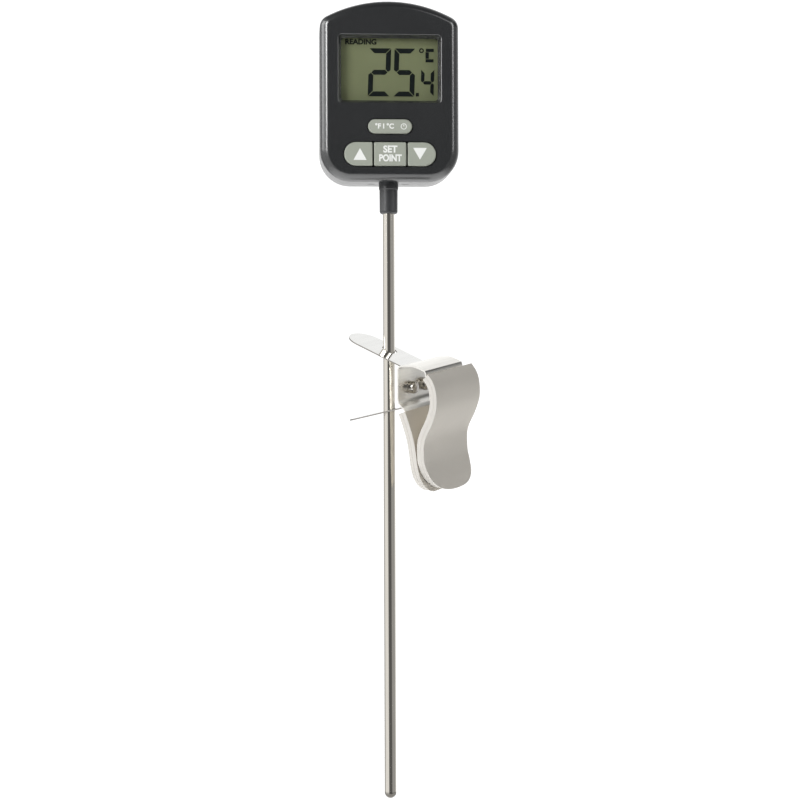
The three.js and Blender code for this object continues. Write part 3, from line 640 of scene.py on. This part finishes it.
# Everything on the display and the keys is placed in millimetres from the middle of the head.
DIGITS = {
    "2": {"left": -7.3, "bottom": -1.6, "width": 7.4, "height": 16.1, "bar": 1.65, "gap": 0.16},
    "5": {"left": 1.25, "bottom": -1.6, "width": 7.1, "height": 16.1, "bar": 1.65, "gap": 0.16},
    "4": {"left": 10.45, "bottom": -1.4, "width": 4.4, "height": 8.9, "bar": 1.15, "gap": 0.10},
}
DECIMAL_POINT = bar_outline(x0=8.9, x1=9.95, z0=-1.55, z1=-0.35)
DEGREE_RING = ring_outlines(x=10.85, z=13.85, outer=0.82, inner=0.40)
UNIT_BARS = [
    bar_outline(x0=12.35, x1=15.0, z0=13.45, z1=14.5),
    bar_outline(x0=12.2, x1=13.3, z0=11.15, z1=13.30),
    bar_outline(x0=12.2, x1=14.9, z0=9.95, z1=11.00),
]
for digit_name, digit_size in DIGITS.items():
    display_ink("lcd_digit_" + digit_name, digit_outlines(digit_name, **digit_size))
display_ink("lcd_point", [DECIMAL_POINT])
display_ink("lcd_degree", DEGREE_RING)
display_ink("lcd_unit", UNIT_BARS)
lettering(
    "lcd_caption",
    "READING",
    centre=(-9.55 * MM, 16.55 * MM),
    height=1.75 * MM,
    middle_y=INK_Y + INK_DEPTH,
    material=LCD_INK,
    body="thermometer",
    weight=0.10 * MM,
    stretch=1.02,
)

# ---------------------------------------------------------------- key prints

PRINT_Y = KEY_TOP_Y - 0.012 * MM
PRINT_DEPTH = 0.03 * MM
UP_ARROW = {"x": -10.1, "z": -21.5, "half_width": 2.2, "height": 3.95}
DOWN_ARROW = {"x": 9.95, "z": -21.3, "half_width": 2.3, "height": 3.95}
SET_LETTERS = {"height": 2.25 * MM, "weight": 0.12 * MM}
TOP_LINE_RISE = 1.5 * MM
LOW_LINE_DROP = 1.45 * MM
UNIT_LETTERS = {"height": 1.65 * MM, "weight": 0.08 * MM}
UNIT_ASIDE = 1.9 * MM
POWER_MARK = {"x": 4.55, "outer": 1.02, "inner": 0.78, "bar_half_width": 0.12, "bar_height": 0.6}


def key_centre(key):
    low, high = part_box(key)
    return (low.x + high.x) / 2, (low.z + high.z) / 2


def triangle(x, z, half_width, height, up):
    """An arrow head whose base lies half a height below its middle, or above it when it points down."""
    side = 1 if up else -1
    base_z = (z - side * height / 2) * MM
    tip_z = (z + side * height / 2) * MM
    return [((x - half_width) * MM, base_z), ((x + half_width) * MM, base_z), (x * MM, tip_z)]


def power_outlines(x, z, outer, inner, bar_half_width, bar_height):
    """A ring with a short bar from its middle upwards."""
    bar = bar_outline(x - bar_half_width, x + bar_half_width, z, z + bar_height)
    return ring_outlines(x, z, outer, inner) + [bar]


def key_marks(name, outlines, key):
    flat_piece(name, outlines, PRINT_Y, PRINT_DEPTH, PRINT, key)


def key_words(name, text, key, centre, stretch, letters):
    lettering(name, text, centre, middle_y=PRINT_Y, material=PRINT, body=key, stretch=stretch, **letters)


key_marks("up_arrow", [triangle(**UP_ARROW, up=True)], "up_key")
key_marks("down_arrow", [triangle(**DOWN_ARROW, up=False)], "down_key")
set_x, set_z = key_centre("set_key")
key_words("set_print_top", "SET", "set_key", (set_x, set_z + TOP_LINE_RISE), 0.96, SET_LETTERS)
key_words("set_print_low", "POINT", "set_key", (set_x, set_z - LOW_LINE_DROP), 0.82, SET_LETTERS)
unit_x, unit_z = key_centre("unit_key")
key_words("unit_print", "°F I °C", "unit_key", (unit_x - UNIT_ASIDE, unit_z), 1.0, UNIT_LETTERS)
key_marks("power_mark", power_outlines(z=unit_z / MM, **POWER_MARK), "unit_key")

# ---------------------------------------------------------------- stage, light and camera

CAMERA_LEVEL_Z = -103.5 * MM
CAMERA_ASIDE = 3.64 * MM
CAMERA_DISTANCE = 0.6
CAMERA_AZIMUTH = math.radians(-4.0)
CAMERA_ROLL = math.radians(0.19)
SENSOR_WIDTH_MM = 36.0
LENS_LENGTH_MM = 79.65

FLOOR_DROP = 350.0 * MM
FLOOR_RADIUS = 0.95
FLOOR_SIDES = 64
FLOOR_MIDDLE_Y = 0.2


def stage_material():
    material = new_material("stage_white", (0.92, 0.92, 0.92), 0.9)
    tree = material.node_tree
    gloss = noise(tree, object_coordinates(tree), FLOOR_GLOSS_SCALE)
    drive(tree, "Roughness", spread(tree, gloss, 0.85, 0.95))
    return material


def build_stage():
    """A round pale floor, well below the tip, so that the object stands clear against white surroundings."""
    rim = []
    for i in range(FLOOR_SIDES):
        angle = 2 * math.pi * i / FLOOR_SIDES
        x = FLOOR_RADIUS * math.cos(angle)
        y = FLOOR_MIDDLE_Y + FLOOR_RADIUS * math.sin(angle)
        rim.append((x, y, TIP_Z - FLOOR_DROP))
    mesh = bpy.data.meshes.new("stage_floor")
    mesh.from_pydata(rim, [], [tuple(range(FLOOR_SIDES))])
    mesh.materials.append(stage_material())
    floor = bpy.data.objects.new("stage_floor", mesh)
    bpy.context.scene.collection.objects.link(floor)


def softbox(name, location, target, size, watts):
    light = bpy.data.lights.new(name, "AREA")
    light.shape = "RECTANGLE"
    light.size = size[0]
    light.size_y = size[1]
    light.energy = watts
    lamp = bpy.data.objects.new(name, light)
    lamp.location = location
    lamp.rotation_euler = (Vector(target) - Vector(location)).to_track_quat("-Z", "Y").to_euler()
    bpy.context.scene.collection.objects.link(lamp)


OBJECT_MIDDLE = (0.0, -0.01, -0.08)
HEAD_MIDDLE = (0.0, 0.0, 0.0)
UNDER_THE_FLOOR = (0.0, 0.2, -1.0)
LIGHTS = [
    {
        "name": "key",
        "location": (-0.75, -0.65, 0.80),
        "target": OBJECT_MIDDLE,
        "size": (0.6, 0.6),
        "watts": 1.0,
    },
    {
        "name": "fill",
        "location": (0.65, -0.75, 0.75),
        "target": OBJECT_MIDDLE,
        "size": (0.7, 0.7),
        "watts": 2.2,
    },
    {
        "name": "left_strip",
        "location": (-0.80, -0.62, 0.45),
        "target": HEAD_MIDDLE,
        "size": (0.32, 0.70),
        "watts": 10.5,
    },
    {
        "name": "right_strip",
        "location": (0.90, -0.50, 0.45),
        "target": HEAD_MIDDLE,
        "size": (0.20, 0.70),
        "watts": 3.6,
    },
    {
        "name": "floor_wash",
        "location": (0.0, 0.2, -0.40),
        "target": UNDER_THE_FLOOR,
        "size": (1.2, 1.2),
        "watts": 7.5,
    },
    {
        "name": "side_panel",
        "location": (-1.15, 0.10, 0.52),
        "target": HEAD_MIDDLE,
        "size": (0.6, 0.8),
        "watts": 5.0,
    },
]

# Surroundings seen in the object: grey levels against the angle from the front, positive to the right, and
# against the height of the direction, from -1 straight down to 1 straight up.
AROUND = [
    (-180, 1.22), (-168, 1.22), (-156, 0.5), (-120, 0.55), (-106, 1.05), (-42, 1.05), (-26, 0.13),
    (24, 0.13), (34, 0.42), (100, 0.42), (130, 1.1), (160, 1.22), (180, 1.22),
]
OVERHEAD = [(-1.0, 0.9), (0.65, 1.0), (0.9, 0.15), (1.0, 0.10)]

# A dark card to the right, a little above level, as the same two kinds of stops: dark where both are low.
CARD_AROUND = [(-180, 1.0), (84, 1.0), (90, 0.08), (122, 0.08), (128, 1.0), (180, 1.0)]
CARD_HEIGHT = [(-1.0, 1.0), (0.22, 1.0), (0.28, 0.08), (0.62, 0.08), (0.70, 1.0), (1.0, 1.0)]


def grey_ramp(tree, value, stops):
    """A grey that follows the value through these stops. A ramp starts with two elements; more are added."""
    low, high = stops[0][0], stops[-1][0]
    node = tree.nodes.new("ShaderNodeValToRGB")
    ramp = node.color_ramp
    while len(ramp.elements) < len(stops):
        ramp.elements.new(1.0)
    for element, (at, level) in zip(ramp.elements, stops):
        element.position = (at - low) / (high - low)
        element.color = (level, level, level, 1.0)
    tree.links.new(spread(tree, value, 0.0, 1.0, low, high), node.inputs["Fac"])
    return node.outputs["Color"]


def arithmetic(tree, operation, first, second=None):
    node = tree.nodes.new("ShaderNodeMath")
    node.operation = operation
    tree.links.new(first, node.inputs[0])
    if second is not None:
        tree.links.new(second, node.inputs[1])
    return node.outputs[0]


def build_world():
    """White studio surroundings, with a dark doorway behind the camera, a greyer right side, a dark card
    there and a dark ceiling. The backdrop that the camera looks at directly is plain white."""
    world = bpy.data.worlds.new("studio")
    world.use_nodes = True
    tree = world.node_tree
    split = tree.nodes.new("ShaderNodeSeparateXYZ")
    tree.links.new(tree.nodes.new("ShaderNodeTexCoord").outputs["Generated"], split.inputs["Vector"])
    towards_front = arithmetic(tree, "MULTIPLY", split.outputs["Y"])
    towards_front.node.inputs[1].default_value = -1.0
    azimuth = arithmetic(tree, "DEGREES", arithmetic(tree, "ARCTAN2", split.outputs["X"], towards_front))
    around = grey_ramp(tree, azimuth, AROUND)
    overhead = grey_ramp(tree, split.outputs["Z"], OVERHEAD)
    card_side = grey_ramp(tree, azimuth, CARD_AROUND)
    card_height = grey_ramp(tree, split.outputs["Z"], CARD_HEIGHT)
    card = arithmetic(tree, "MAXIMUM", card_side, card_height)
    level = arithmetic(tree, "MULTIPLY", arithmetic(tree, "MULTIPLY", around, overhead), card)
    is_direct = tree.nodes.new("ShaderNodeLightPath").outputs["Is Camera Ray"]
    seen = arithmetic(tree, "MAXIMUM", level, is_direct)
    tree.links.new(seen, tree.nodes["Background"].inputs["Color"])
    bpy.context.scene.world = world


def build_camera():
    data = bpy.data.cameras.new("camera")
    data.sensor_width = SENSOR_WIDTH_MM
    data.lens = LENS_LENGTH_MM
    data.clip_start = 0.01
    data.clip_end = 20.0
    camera = bpy.data.objects.new("camera", data)
    forward = Vector((-math.sin(CAMERA_AZIMUTH), math.cos(CAMERA_AZIMUTH), 0.0))
    right = Vector((math.cos(CAMERA_AZIMUTH), math.sin(CAMERA_AZIMUTH), 0.0))
    aim = Vector((STEM_X, STEM_Y, CAMERA_LEVEL_Z)) + right * CAMERA_ASIDE
    camera.location = aim - forward * CAMERA_DISTANCE
    camera.rotation_mode = "QUATERNION"
    facing = forward.to_track_quat("-Z", "Y")
    camera.rotation_quaternion = Matrix.Rotation(CAMERA_ROLL, 3, forward).to_quaternion() @ facing
    bpy.context.scene.collection.objects.link(camera)
    bpy.context.scene.camera = camera


bpy.context.scene.view_settings.view_transform = "Standard"
build_stage()
build_world()
for light_facts in LIGHTS:
    softbox(**light_facts)
build_camera()
